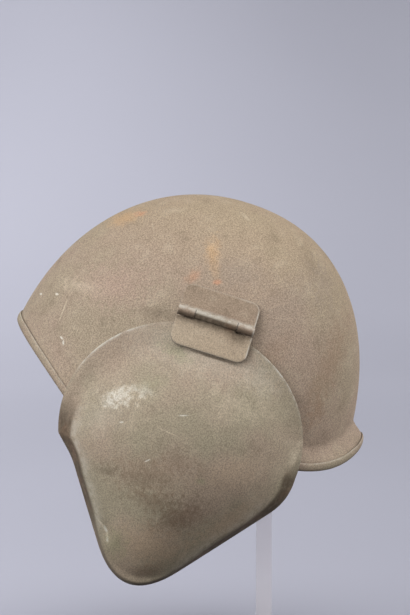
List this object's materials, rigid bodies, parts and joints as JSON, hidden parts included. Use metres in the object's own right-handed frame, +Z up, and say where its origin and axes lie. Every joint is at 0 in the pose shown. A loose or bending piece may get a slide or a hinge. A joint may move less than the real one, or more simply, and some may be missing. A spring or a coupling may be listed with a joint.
{
  "type": "flak helmet on stand",
  "caption": "Painted steel flak helmet with a bowl-shaped shell, folded rim and domed hinged ear plates, resting front-up on a clear post stand.",
  "frame": {"origin": "centre of the stand's underside", "axes": "+Z up, the front of the helmet faces -Y, the wearer's left is +X"},
  "size_m": [0.274, 0.267, 0.3637],
  "materials": {
    "flocked_paint": "matte, sand-textured, worn",
    "worn_steel": "worn",
    "clear_acrylic": "clear, polished"
  },
  "bodies": {
    "helmet": {"shell": "flocked_paint", "rim_band": "flocked_paint", "hinge_upper_leaf_left": "flocked_paint", "hinge_upper_leaf_right": "flocked_paint", "hinge_pin_left": "worn_steel", "hinge_pin_right": "worn_steel", "stand_base": "clear_acrylic", "stand_post": "clear_acrylic", "stand_saddle": "clear_acrylic"},
    "ear_left": {"ear_plate_left": "flocked_paint", "hinge_lower_leaf_left": "flocked_paint"},
    "ear_right": {"ear_plate_right": "flocked_paint", "hinge_lower_leaf_right": "flocked_paint"}
  },
  "joints": [
    {"name": "ear_plate_left_hinge", "type": "hinge", "parent": "helmet", "child": "ear_left", "pos_m": [0.10626, 0.01875, 0.27648], "axis": [0, -0.9537, 0.3007], "range_deg": [0, 150]},
    {"name": "ear_plate_right_hinge", "type": "hinge", "parent": "helmet", "child": "ear_right", "pos_m": [-0.10626, 0.01875, 0.27648], "axis": [0, 0.9537, -0.3007], "range_deg": [0, 150]}
  ]
}
